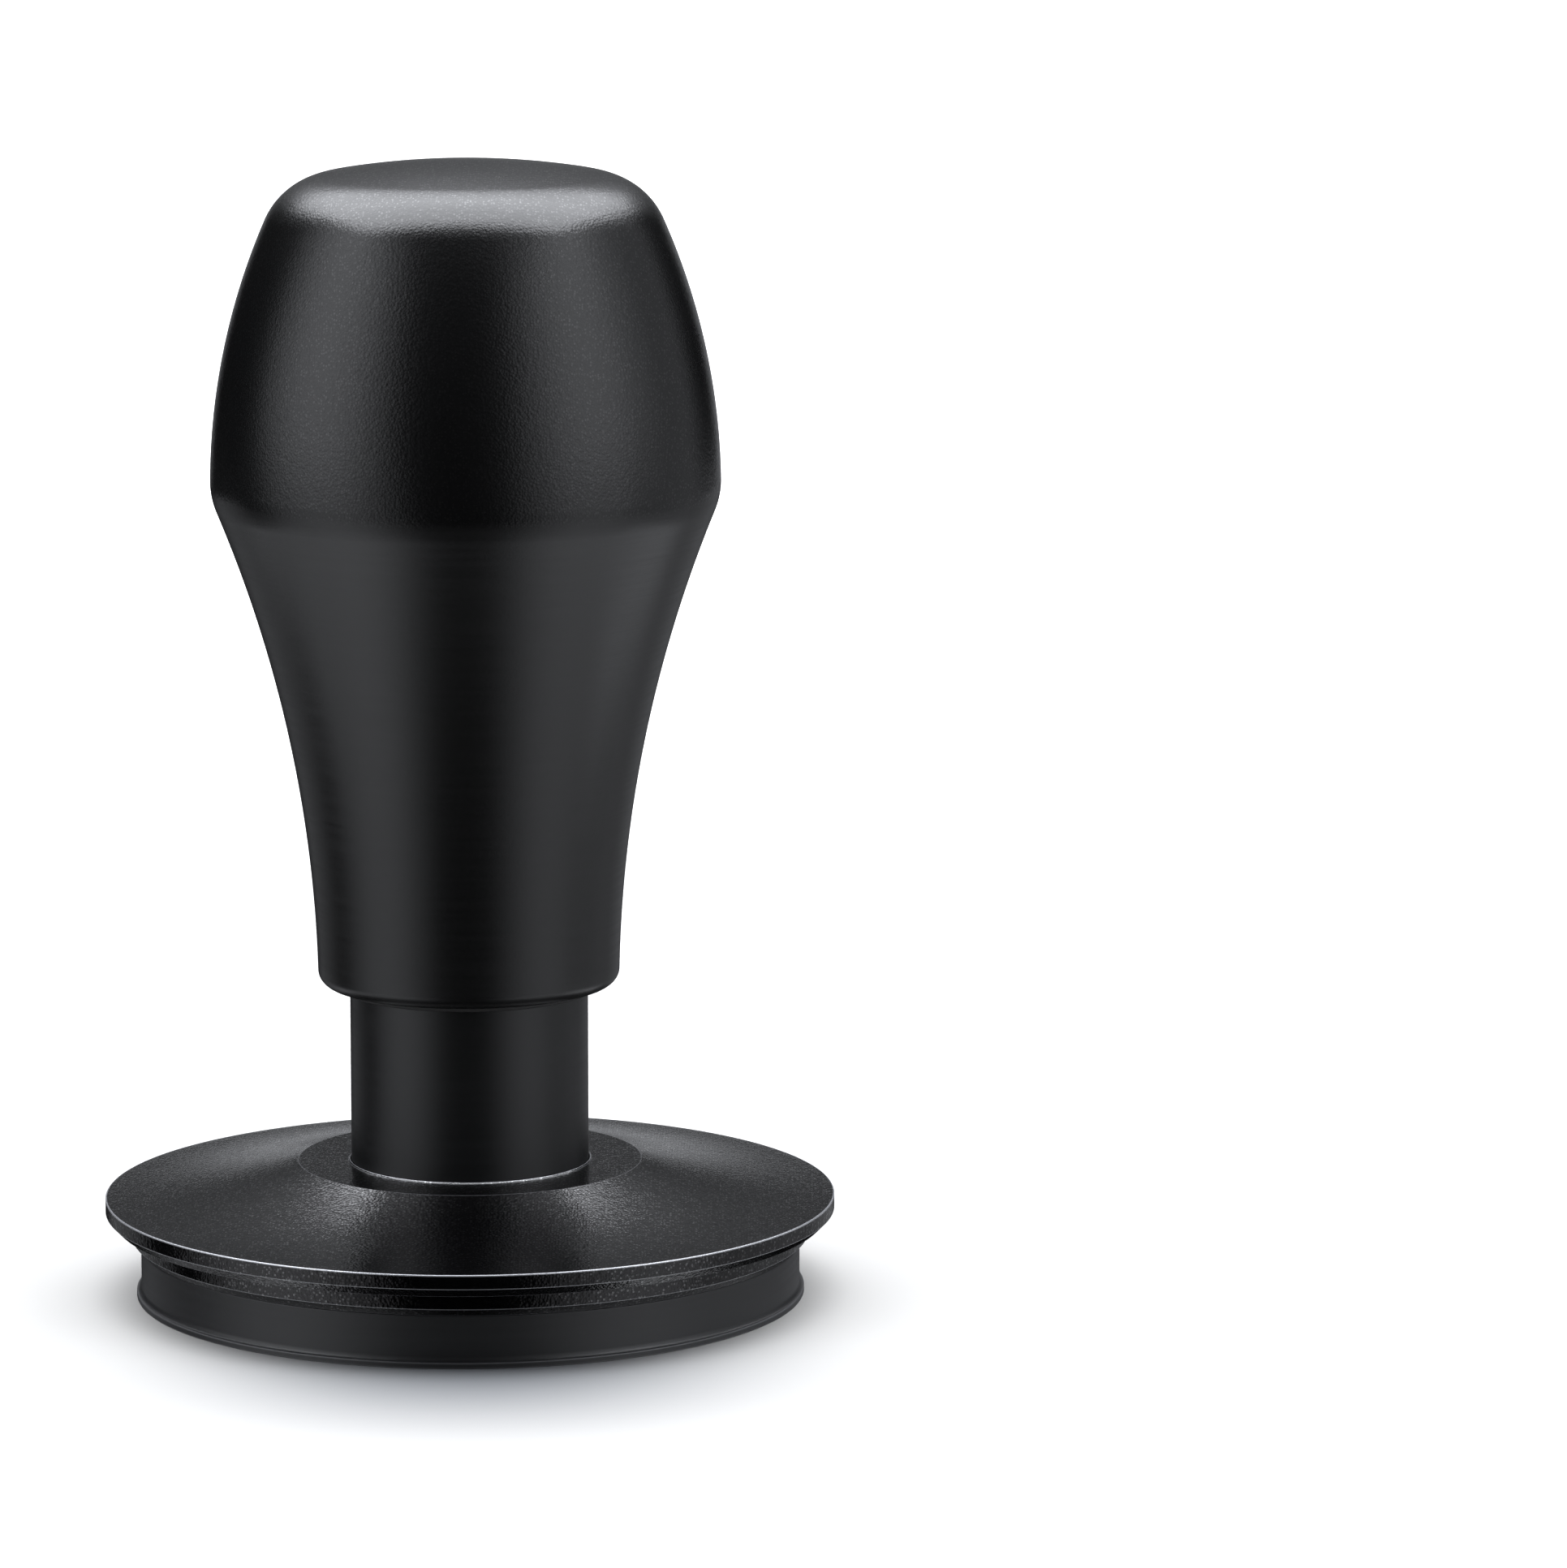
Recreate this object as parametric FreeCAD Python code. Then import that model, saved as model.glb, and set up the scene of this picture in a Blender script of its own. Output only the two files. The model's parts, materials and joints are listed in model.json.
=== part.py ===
"""Spring-loaded, self-levelling espresso tamper, 58.5 mm.

Frame: origin at the centre of the tamping face, +Z up the stem, millimetres.
Every piece is a turned part about the Z axis, apart from the coil spring and
the hexagon sockets. Heights are measured from the tamping face.
"""
import FreeCAD
import Part
import math
import os

Vector = FreeCAD.Vector

# ---- tamper base ----
LIP_R = 29.25            # radius that fits the coffee basket
LIP_TOP_Z = 0.50
LIP_EDGE = 0.10          # small round at the tamping edge
COVE_TOP_Z = 1.05
BASE_WALL_R = 28.84
BASE_TOP_Z = 4.55
BASE_TOP_BEVEL = 0.20
HUB_R = 10.30
HUB_TOP_Z = 9.00
HUB_ROOT_R = 0.80        # fillet where the hub meets the disc

# ---- levelling plate ----
RIM_R = 31.90
RIM_TOP_Z = 8.78
RIM_LOW_Z = 7.50
RIM_BEVEL = 0.78         # 45 degree bevel under the rim
RIM_EDGE = 0.10
SPIGOT_R = 29.60
SPIGOT_LOW_R = 28.95
SPIGOT_LOW_Z = 4.57
SPIGOT_BEVEL = 0.65
SPIGOT_ROOT_R = 0.25
RING_R = 15.00
RING_Z = 11.80
FLARE_SAG = 0.62         # how far the flare dips below a straight cone
PLATE_BORE_R = 10.46
PLATE_BORE_BEVEL = 0.27
PLATE_SKIN = 2.20        # thickness of the flare
PLATE_BOSS_R = 14.30     # boss that holds the plate's bush

# ---- stem ----
STEM_R = 10.375
STEM_LOW_Z = 9.50
STEM_TOP_Z = 60.00
STEM_WEB_Z = 22.00       # top of the solid foot
STEM_BORE_R = 7.60
STEM_THREAD_R = 8.40
STEM_THREAD_Z = 54.00
GROOVE_R = 9.70
GROOVE_LOW_Z = 51.90
GROOVE_TOP_Z = 57.10

# ---- handle, outside ----
FOOT_R = 12.41
FOOT_Z = 27.61
FLARE_LOW_R = 13.14
FLARE_LOW_Z = 28.68
FLARE_TOP_Z = 69.19
FLARE_ARC_R = 113.7
FLARE_LOW_DEG = 1.26     # lean of the flare's lower end from the vertical
FLARE_TOP_DEG = math.degrees(math.asin(
    math.sin(math.radians(FLARE_LOW_DEG)) + (FLARE_TOP_Z - FLARE_LOW_Z) / FLARE_ARC_R))
WAIST_ARC_R = 6.84
WAIST_TOP_DEG = -0.91
SIDE_ARC_R = 57.8
SIDE_TOP_DEG = -23.78
SHOULDER_ARC_R = 6.69
SHOULDER_TOP_DEG = -79.73
CROWN_Z = 99.26

# ---- handle, inside ----
HANDLE_BORE_R = 10.60
HANDLE_STOP_Z = 70.00    # shoulder that meets the bump stop
SPRING_ROOM_R = 8.60
SPRING_ROOM_Z = 89.60
INSERT_R = 6.00
INSERT_TOP_Z = 96.40
HANDLE_BUSH_R = 11.70
HANDLE_BUSH_LOW_Z = 28.90
HANDLE_BUSH_TOP_Z = 40.00
WIPER_LIP_R = 11.15
WIPER_LOW_Z = 27.05

# ---- centre bolt and its stack ----
BOLT_R = 3.00
BOLT_THREAD_R = 2.90
BOLT_HEAD_R = 5.00
BOLT_HEAD_LOW_Z = 47.40
BOLT_HEAD_TOP_Z = 52.90
BOLT_SHOULDER_Z = 89.80
BOLT_TOP_Z = 95.20
HEX_FLATS = 4.00
CAP_FLANGE_Z = 62.00
PIN_HOLE_R = 0.90        # blind holes for the pin spanner
PIN_HOLE_AT = 5.60
SEAT_R = 8.30

# ---- main spring ----
COIL_R = 6.10
WIRE_R = 1.00
SPRING_LOW_Z = 63.20
SPRING_TOP_Z = 86.80
COIL_TURNS = 7.5

# ---- clearances ----
RUN = 0.055              # radial running clearance
GAP = 0.05               # gap between faces that must not touch

# ---- plate's bearing ----
PLATE_BUSH_R = 12.50
PLATE_BUSH_LOW_Z = 6.60
PLATE_BUSH_TOP_Z = 10.90
RETAINER_BORE_R = PLATE_BUSH_R + RUN
RETAINER_GROOVE_R = 13.30
RETAINER_IN_R = 11.40
RETAINER_LOW_Z = 5.60
RETAINER_TOP_Z = 6.50


def revolve(edges):
    """Turn a closed outline of edges, drawn in the XZ plane, about Z."""
    wire = Part.Wire(Part.__sortEdges__(edges))
    return Part.Face(wire).revolve(Vector(0, 0, 0), Vector(0, 0, 1), 360)


def at(radius, height):
    return Vector(radius, 0, height)


def line(start, end):
    return Part.makeLine(start, end)


def arc(start, middle, end):
    return Part.Arc(start, middle, end).toShape()


def outline(points):
    """Closed outline of straight edges through (radius, height) pairs."""
    corners = [at(radius, height) for radius, height in points]
    ends = corners[1:] + corners[:1]
    return [line(start, end) for start, end in zip(corners, ends)]


def turned(points):
    return revolve(outline(points))


def bevelled_ring(inner, outer, low, top, bevel):
    """Ring of rectangular section with its four corners bevelled."""
    return turned([
        (inner + bevel, low),
        (outer - bevel, low),
        (outer, low + bevel),
        (outer, top - bevel),
        (outer - bevel, top),
        (inner + bevel, top),
        (inner, top - bevel),
        (inner, low + bevel),
    ])


def bevelled_rod(radius, low, top, bevel):
    """Solid rod with a bevel at both ends."""
    return turned([
        (0, low),
        (radius - bevel, low),
        (radius, low + bevel),
        (radius, top - bevel),
        (radius - bevel, top),
        (0, top),
    ])


def round_rod(radius, low, top):
    return Part.makeCylinder(radius, top - low, at(0, low))


def hex_socket(low, depth):
    """Hexagonal prism for a key, standing on the given height."""
    corner = HEX_FLATS / math.sqrt(3)
    points = []
    for side in range(7):
        angle = math.radians(60 * side)
        points.append(Vector(corner * math.cos(angle), corner * math.sin(angle), low))
    face = Part.Face(Part.makePolygon(points))
    return face.extrude(Vector(0, 0, depth))


def arc_between(start, start_deg, end_deg, radius):
    """Tangent arc whose lean from the vertical turns between two angles.

    A lean grows as the outline opens outwards. The arc bulges inwards while
    the lean grows and outwards while it falls. Returns the edge and its end.
    """
    def step(angle_deg):
        sign = 1 if end_deg > start_deg else -1
        first = math.radians(start_deg)
        angle = math.radians(angle_deg)
        across = sign * radius * (math.cos(first) - math.cos(angle))
        up = sign * radius * (math.sin(angle) - math.sin(first))
        return at(start.x + across, start.z + up)

    middle = step((start_deg + end_deg) / 2)
    end = step(end_deg)
    return arc(start, middle, end), end


def tamper_base():
    """Steel disc with a thin lip, a cove above it and a hub for the stem."""
    edge = at(LIP_R, LIP_EDGE)
    lip_top = at(LIP_R, LIP_TOP_Z)
    cove_low = at(LIP_R - 0.08, LIP_TOP_Z + 0.04)
    cove_top = at(BASE_WALL_R, COVE_TOP_Z)
    cove_mid = at(BASE_WALL_R + 0.09, LIP_TOP_Z + 0.17)
    wall_top = at(BASE_WALL_R, BASE_TOP_Z - BASE_TOP_BEVEL)
    top_edge = at(BASE_WALL_R - BASE_TOP_BEVEL, BASE_TOP_Z)
    root_out = at(HUB_R + HUB_ROOT_R, BASE_TOP_Z)
    root_in = at(HUB_R, BASE_TOP_Z + HUB_ROOT_R)
    pull = HUB_ROOT_R * (1 - math.sqrt(0.5))
    root_mid = at(HUB_R + pull, BASE_TOP_Z + pull)
    round_mid = at(LIP_R - LIP_EDGE * 0.29, LIP_EDGE * 0.29)
    profile = [
        line(at(0, 0), at(LIP_R - LIP_EDGE, 0)),
        arc(at(LIP_R - LIP_EDGE, 0), round_mid, edge),
        line(edge, lip_top),
        line(lip_top, cove_low),
        arc(cove_low, cove_mid, cove_top),
        line(cove_top, wall_top),
        line(wall_top, top_edge),
        line(top_edge, root_out),
        arc(root_out, root_mid, root_in),
        line(root_in, at(HUB_R, HUB_TOP_Z - 0.3)),
        line(at(HUB_R, HUB_TOP_Z - 0.3), at(HUB_R - 0.3, HUB_TOP_Z)),
        line(at(HUB_R - 0.3, HUB_TOP_Z), at(0, HUB_TOP_Z)),
        line(at(0, HUB_TOP_Z), at(0, 0)),
    ]
    return revolve(profile).cut(round_rod(4.0, 2.0, HUB_TOP_Z + 1))


def base_stud():
    """M8 grub screw that joins the base and the stem."""
    return bevelled_rod(3.95, 2.2, 20.6, 0.6).cut(hex_socket(16.6, 4.5))


def base_washer():
    return bevelled_ring(4.3, 9.6, HUB_TOP_Z, STEM_LOW_Z, 0.1)


def stem_tube():
    """Polished stem: solid tapped foot, bored above, grooved for its ring."""
    return turned([
        (4.0, STEM_LOW_Z),
        (STEM_R - 0.3, STEM_LOW_Z),
        (STEM_R, STEM_LOW_Z + 0.3),
        (STEM_R, GROOVE_LOW_Z),
        (GROOVE_R, GROOVE_LOW_Z),
        (GROOVE_R, GROOVE_TOP_Z),
        (STEM_R, GROOVE_TOP_Z),
        (STEM_R, STEM_TOP_Z - 0.5),
        (STEM_R - 0.5, STEM_TOP_Z),
        (STEM_THREAD_R, STEM_TOP_Z),
        (STEM_THREAD_R, STEM_THREAD_Z),
        (STEM_BORE_R, STEM_THREAD_Z),
        (STEM_BORE_R, STEM_WEB_Z),
        (4.0, STEM_WEB_Z - 2.0),
    ])


def stem_guide_ring():
    """Split plastic wear ring that guides the handle on the stem's top."""
    ring = bevelled_ring(GROOVE_R + 0.02, HANDLE_BORE_R - RUN, GROOVE_LOW_Z + GAP, GROOVE_TOP_Z - GAP, 0.15)
    split = Part.makeBox(2.0, 0.8, 8.0, Vector(GROOVE_R - 0.5, -0.4, GROOVE_LOW_Z - 1))
    return ring.cut(split)


def stem_cap():
    """Threaded cap that closes the stem and guides the centre bolt."""
    body = turned([
        (BOLT_R + 0.08, STEM_THREAD_Z),
        (STEM_THREAD_R - 0.55, STEM_THREAD_Z),
        (STEM_THREAD_R - 0.05, STEM_THREAD_Z + 0.5),
        (STEM_THREAD_R - 0.05, STEM_TOP_Z),
        (STEM_R - 0.2, STEM_TOP_Z),
        (STEM_R - 0.2, CAP_FLANGE_Z),
        (BOLT_R + 0.08, CAP_FLANGE_Z),
    ])
    for side in (-1, 1):
        hole = round_rod(PIN_HOLE_R, CAP_FLANGE_Z - 1.6, CAP_FLANGE_Z + 1)
        hole.translate(Vector(side * PIN_HOLE_AT, 0, 0))
        body = body.cut(hole)
    return body


def bump_stop():
    """Rubber ring that takes the handle's shoulder at full stroke."""
    return bevelled_ring(8.75, 10.15, CAP_FLANGE_Z, CAP_FLANGE_Z + 1.9, 0.3)


def lower_spring_seat():
    """Washer with a pilot that centres the spring on the stem's cap."""
    return turned([
        (BOLT_R + 0.25, CAP_FLANGE_Z),
        (SEAT_R, CAP_FLANGE_Z),
        (SEAT_R, SPRING_LOW_Z),
        (COIL_R - WIRE_R - 0.15, SPRING_LOW_Z),
        (COIL_R - WIRE_R - 0.45, SPRING_LOW_Z + 1.6),
        (BOLT_R + 0.25, SPRING_LOW_Z + 1.6),
    ])


def main_spring():
    """Coil spring with its ends ground flat."""
    low = SPRING_LOW_Z + 0.2
    height = SPRING_TOP_Z - SPRING_LOW_Z - 0.4
    helix = Part.makeHelix(height / COIL_TURNS, height, COIL_R)
    helix.translate(at(0, low))
    wire = Part.Wire(helix.Edges)
    start = helix.Edges[0].firstVertex().Point
    heading = helix.Edges[0].tangentAt(helix.Edges[0].FirstParameter)
    section = Part.Wire(Part.makeCircle(WIRE_R, start, heading))
    coil = wire.makePipeShell([section], True, True)
    keep = round_rod(COIL_R + 2 * WIRE_R, SPRING_LOW_Z, SPRING_TOP_Z)
    return coil.common(keep)


def upper_spring_seat():
    """Washer with a pilot that centres the spring's upper end."""
    pilot = SPRING_TOP_Z - 1.6
    return turned([
        (BOLT_R + 0.25, pilot),
        (COIL_R - WIRE_R - 0.45, pilot),
        (COIL_R - WIRE_R - 0.15, SPRING_TOP_Z),
        (SEAT_R, SPRING_TOP_Z),
        (SEAT_R, 88.0),
        (BOLT_R + 0.25, 88.0),
    ])


def thrust_washer():
    """Low friction washer that lets the handle spin on the sprung seat."""
    return bevelled_ring(BOLT_R + 0.25, SEAT_R - 0.1, 88.0, 88.9, 0.1)


def handle_outline():
    """Outside of the handle, from its foot to the middle of the crown."""
    foot = at(FOOT_R, FOOT_Z)
    low = at(FLARE_LOW_R, FLARE_LOW_Z)
    corner = at(FOOT_R + 0.52, FOOT_Z + 0.30)
    flare, flare_end = arc_between(low, FLARE_LOW_DEG, FLARE_TOP_DEG, FLARE_ARC_R)
    waist, waist_end = arc_between(flare_end, FLARE_TOP_DEG, WAIST_TOP_DEG, WAIST_ARC_R)
    side, side_end = arc_between(waist_end, WAIST_TOP_DEG, SIDE_TOP_DEG, SIDE_ARC_R)
    shoulder, shoulder_end = arc_between(side_end, SIDE_TOP_DEG, SHOULDER_TOP_DEG, SHOULDER_ARC_R)
    crown_top = at(0, CROWN_Z)
    crown_drop = CROWN_Z - shoulder_end.z
    crown_radius = (shoulder_end.x ** 2 + crown_drop ** 2) / (2 * crown_drop)
    half = math.asin(shoulder_end.x / crown_radius) / 2
    crown_mid = at(crown_radius * math.sin(half), CROWN_Z - crown_radius * (1 - math.cos(half)))
    crown = arc(shoulder_end, crown_mid, crown_top)
    return [arc(foot, corner, low), flare, waist, side, shoulder, crown]


def handle_shell():
    """Aluminium grip, bored from below for the stem, spring and insert."""
    inside = [
        (INSERT_R, INSERT_TOP_Z),
        (INSERT_R, SPRING_ROOM_Z),
        (SPRING_ROOM_R, SPRING_ROOM_Z),
        (SPRING_ROOM_R, HANDLE_STOP_Z),
        (HANDLE_BORE_R, HANDLE_STOP_Z),
        (HANDLE_BORE_R, HANDLE_BUSH_TOP_Z),
        (HANDLE_BUSH_R, HANDLE_BUSH_TOP_Z),
        (HANDLE_BUSH_R, FOOT_Z),
        (FOOT_R, FOOT_Z),
    ]
    corners = [at(0, CROWN_Z), at(0, INSERT_TOP_Z)] + [at(r, z) for r, z in inside]
    walls = [line(a, b) for a, b in zip(corners[:-1], corners[1:])]
    return revolve(handle_outline() + walls)


def threaded_insert():
    """Flanged steel insert in the crown that takes the centre bolt."""
    return turned([
        (BOLT_R, 89.0),
        (SPRING_ROOM_R - 0.1, 89.0),
        (SPRING_ROOM_R - 0.1, SPRING_ROOM_Z),
        (INSERT_R, SPRING_ROOM_Z),
        (INSERT_R, INSERT_TOP_Z - 0.4),
        (0, INSERT_TOP_Z - 0.4),
        (0, INSERT_TOP_Z - 1.0),
        (BOLT_R, INSERT_TOP_Z - 1.0),
    ])


def centre_bolt():
    """Shoulder bolt that ties the handle to the stem against the spring."""
    body = turned([
        (0, BOLT_HEAD_LOW_Z),
        (BOLT_HEAD_R - 0.4, BOLT_HEAD_LOW_Z),
        (BOLT_HEAD_R, BOLT_HEAD_LOW_Z + 0.4),
        (BOLT_HEAD_R, BOLT_HEAD_TOP_Z),
        (BOLT_R, BOLT_HEAD_TOP_Z),
        (BOLT_R, BOLT_SHOULDER_Z),
        (BOLT_THREAD_R, BOLT_SHOULDER_Z),
        (BOLT_THREAD_R, BOLT_TOP_Z - 0.5),
        (BOLT_THREAD_R - 0.5, BOLT_TOP_Z),
        (0, BOLT_TOP_Z),
    ])
    return body.cut(hex_socket(BOLT_HEAD_LOW_Z - 1, 4.2))


def bolt_buffer():
    """Rubber washer that quiets the handle's return."""
    return bevelled_ring(BOLT_R + 0.1, 6.5, BOLT_HEAD_TOP_Z, STEM_THREAD_Z - GAP, 0.15)


def handle_bush():
    """Plain bearing pressed into the handle's foot."""
    inner = STEM_R + RUN
    return bevelled_ring(inner, HANDLE_BUSH_R, HANDLE_BUSH_LOW_Z, HANDLE_BUSH_TOP_Z, 0.2)


def handle_wiper():
    """Wiper ring whose lip shows below the handle and keeps grounds out."""
    return turned([
        (STEM_R + 0.03, WIPER_LOW_Z + 0.15),
        (STEM_R + 0.20, WIPER_LOW_Z),
        (WIPER_LIP_R - 0.15, WIPER_LOW_Z),
        (WIPER_LIP_R, WIPER_LOW_Z + 0.15),
        (WIPER_LIP_R, FOOT_Z),
        (HANDLE_BUSH_R, FOOT_Z + 0.05),
        (HANDLE_BUSH_R, HANDLE_BUSH_LOW_Z),
        (STEM_R + 0.30, HANDLE_BUSH_LOW_Z),
    ])


def levelling_plate():
    """Bell-shaped plate: flared top, flat ring, and spigot for the basket."""
    rim_mid_drop = FLARE_SAG
    rim_edge = at(RIM_R - RIM_EDGE, RIM_TOP_Z)
    ring_edge = at(RING_R, RING_Z)
    flare_mid = at((RIM_R + RING_R) / 2, (RIM_TOP_Z + RING_Z) / 2 - rim_mid_drop)
    inner_mid = at(flare_mid.x - 1.0, flare_mid.z - PLATE_SKIN)
    bevel_in = RIM_R - RIM_BEVEL
    bevel_low = RIM_LOW_Z - RIM_BEVEL
    spigot_top = SPIGOT_LOW_Z + SPIGOT_BEVEL
    wall_in = SPIGOT_LOW_R - 1.8
    boss_low = SPIGOT_LOW_Z + 0.6
    corners = [
        at(RIM_R, RIM_TOP_Z - RIM_EDGE),
        at(RIM_R, RIM_LOW_Z),
        at(bevel_in, bevel_low),
        at(SPIGOT_R, bevel_low),
        at(SPIGOT_R, spigot_top),
        at(SPIGOT_LOW_R, SPIGOT_LOW_Z),
        at(wall_in, SPIGOT_LOW_Z),
        at(wall_in, bevel_low),
    ]
    boss = [
        at(PLATE_BOSS_R, RING_Z - PLATE_SKIN - 0.4),
        at(PLATE_BOSS_R, boss_low),
        at(RETAINER_BORE_R, boss_low),
        at(RETAINER_BORE_R, RETAINER_LOW_Z),
        at(RETAINER_GROOVE_R, RETAINER_LOW_Z),
        at(RETAINER_GROOVE_R, RETAINER_TOP_Z),
        at(RETAINER_BORE_R, RETAINER_TOP_Z),
        at(RETAINER_BORE_R, PLATE_BUSH_TOP_Z + GAP),
        at(PLATE_BORE_R, PLATE_BUSH_TOP_Z + GAP),
        at(PLATE_BORE_R, RING_Z - PLATE_BORE_BEVEL),
        at(PLATE_BORE_R + PLATE_BORE_BEVEL, RING_Z),
        ring_edge,
    ]
    edges = [line(a, b) for a, b in zip(corners[:-1], corners[1:])]
    edges += [line(a, b) for a, b in zip(boss[:-1], boss[1:])]
    edges.append(line(rim_edge, corners[0]))
    edges.append(arc(corners[-1], inner_mid, boss[0]))
    edges.append(arc(ring_edge, flare_mid, rim_edge))
    return revolve(edges)


def plate_bush():
    """Plain bearing that slides on the stem and carries the plate."""
    inner = STEM_R + RUN
    return bevelled_ring(inner, PLATE_BUSH_R, PLATE_BUSH_LOW_Z, PLATE_BUSH_TOP_Z, 0.2)


def plate_retaining_ring():
    """Internal circlip that holds the bush in the plate."""
    play = 0.02
    outer = RETAINER_GROOVE_R - play
    ring = bevelled_ring(RETAINER_IN_R, outer, RETAINER_LOW_Z + play, RETAINER_TOP_Z - play, 0.05)
    opening = Part.makeBox(4.0, 5.0, 3.0, Vector(10.5, -2.5, RETAINER_LOW_Z - 1))
    return ring.cut(opening)


PIECES = [
    tamper_base,
    base_stud,
    base_washer,
    stem_tube,
    stem_guide_ring,
    stem_cap,
    bump_stop,
    lower_spring_seat,
    main_spring,
    upper_spring_seat,
    thrust_washer,
    handle_shell,
    threaded_insert,
    centre_bolt,
    bolt_buffer,
    handle_bush,
    handle_wiper,
    plate_bush,
    levelling_plate,
    plate_retaining_ring,
]

os.makedirs("parts", exist_ok=True)
for piece in PIECES:
    solid = piece().Solids[0]
    print(piece.__name__, solid.isValid(), round(solid.Volume, 2))
    solid.exportStep("parts/" + piece.__name__ + ".step")
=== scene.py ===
"""Black sprung espresso tamper, built as an add-on and run as a script.

Each operator makes one piece, or one group of like pieces, round the frame
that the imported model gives. The turned pieces are outlines of straight runs
and tangent arcs that one Geometry Nodes tree spins about the Z axis.
"""

import json
import math

import bmesh
import bpy
from bpy.props import FloatProperty, FloatVectorProperty, IntProperty, PointerProperty
from mathutils import Matrix, Vector


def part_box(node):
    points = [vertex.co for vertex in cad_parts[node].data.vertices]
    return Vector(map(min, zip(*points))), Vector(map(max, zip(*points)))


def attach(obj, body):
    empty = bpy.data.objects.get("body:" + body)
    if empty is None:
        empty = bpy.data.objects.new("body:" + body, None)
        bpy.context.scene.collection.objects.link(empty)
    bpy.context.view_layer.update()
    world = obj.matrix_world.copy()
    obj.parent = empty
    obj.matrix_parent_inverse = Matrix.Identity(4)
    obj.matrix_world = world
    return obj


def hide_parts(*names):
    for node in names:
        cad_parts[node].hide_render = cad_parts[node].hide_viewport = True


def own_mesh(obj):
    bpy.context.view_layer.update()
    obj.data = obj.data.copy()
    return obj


bl_info = {
    "name": "Espresso tamper",
    "version": (1, 0, 0),
    "blender": (4, 5, 0),
    "location": "View3D > Sidebar > Tamper",
    "description": "Builds a sprung, self-levelling espresso tamper and a pale studio",
    "category": "Object",
}

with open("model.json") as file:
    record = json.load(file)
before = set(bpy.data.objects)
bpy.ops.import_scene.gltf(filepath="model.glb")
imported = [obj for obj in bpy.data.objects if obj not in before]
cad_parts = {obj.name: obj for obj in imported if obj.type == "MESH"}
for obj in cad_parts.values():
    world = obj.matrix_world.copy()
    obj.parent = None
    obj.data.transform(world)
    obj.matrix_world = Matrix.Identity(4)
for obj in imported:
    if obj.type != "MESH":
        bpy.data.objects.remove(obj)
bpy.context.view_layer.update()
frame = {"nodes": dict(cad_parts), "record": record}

MM = 0.001
FLARE_SAG = 0.62 * MM  # how far the plate's flare dips below a straight cone
BORE_LIP = 0.11 * MM  # height of the bright lip round the plate's bore
TAP_R = 4.0 * MM  # tapped hole that joins the base and the stem
SOFTBOX_TINT = (0.96, 0.98, 1.03)
EDGE_WEAR_AND_HIGHLIGHT = "edge"  # attribute that holds the edge brightness: partly rubbed-bare metal, partly painted highlight


def node_size(name):
    """Radius, lowest height and highest height of a turned CAD node."""
    low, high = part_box(name)
    return high.x, low.z, high.z


GRIP_LOW, GRIP_TOP = node_size("handle_shell")[1:]
STEM_R, STEM_LOW, STEM_TOP = node_size("stem_tube")
RIM_R, PLATE_LOW, PLATE_TOP = node_size("levelling_plate")
LIP_R, BASE_LOW, HUB_TOP = node_size("tamper_base")
WIPER_R, WIPER_LOW, WIPER_TOP = node_size("handle_wiper")
BORE_R = node_size("handle_bush")[0]
SPRING_R, SPRING_LOW, SPRING_TOP = node_size("main_spring")
PLATE_BUSH_R = node_size("plate_bush")[0]
CREASE = GRIP_LOW + 43.2 * MM


def length(name, description, default):
    return FloatProperty(
        name=name, description=description, default=default, min=0.0,
        unit="LENGTH", subtype="DISTANCE", precision=5,
    )


def colour(name, description, default):
    return FloatVectorProperty(
        name=name, description=description, default=default, min=0.0, max=1.0,
        size=3, subtype="COLOR",
    )


def amount(name, description, default, high=1.0):
    return FloatProperty(name=name, description=description, default=default, min=0.0, max=high)


class TamperSizes(bpy.types.PropertyGroup):
    """Driving sizes of the turned pieces."""

    segments: IntProperty(
        name="Segments", description="Faces round each turned piece", default=256, min=32, max=512)
    foot_r: length("Foot radius", "Radius at the lower edge of the handle", 12.41 * MM)
    foot_round: length("Foot rounding", "Height of the rounded edge of the foot", 1.07 * MM)
    flare_low_r: length("Neck radius", "Radius where the handle's flare begins", 13.14 * MM)
    flare_arc: length("Flare arc", "Radius of the flare's long hollow arc", 113.7 * MM)
    flare_height: length("Flare height", "Height of the flare", 40.51 * MM)
    waist_arc: length("Crease arc", "Radius of the arc at the widest place", 6.84 * MM)
    side_arc: length("Side arc", "Radius of the arc above the crease", 57.8 * MM)
    shoulder_arc: length("Shoulder arc", "Radius of the shoulder", 6.69 * MM)
    rim_low: length("Rim height", "Height of the rim's lower edge", 7.50 * MM)
    rim_top: length("Rim top", "Height of the rim's upper edge", 8.78 * MM)
    rim_bevel: length("Rim bevel", "Size of the bevel under the rim", 0.78 * MM)
    ring_r: length("Ring radius", "Outer radius of the flat ring round the stem", 15.0 * MM)
    spigot_r: length("Spigot radius", "Radius of the part that enters the basket", 29.6 * MM)
    spigot_bevel: length("Spigot bevel", "Size of the bevel under the spigot", 0.65 * MM)
    wall_r: length("Base wall radius", "Radius of the base above its lip", 28.84 * MM)
    base_top: length("Base thickness", "Height of the base's wall", 4.55 * MM)
    lip_top: length("Lip thickness", "Height of the thin lip", 0.50 * MM)
    cove_top: length("Cove height", "Height at which the cove meets the wall", 1.05 * MM)
    edge: length("Broken edge", "Radius that breaks the sharp edges", 0.09 * MM)


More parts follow.
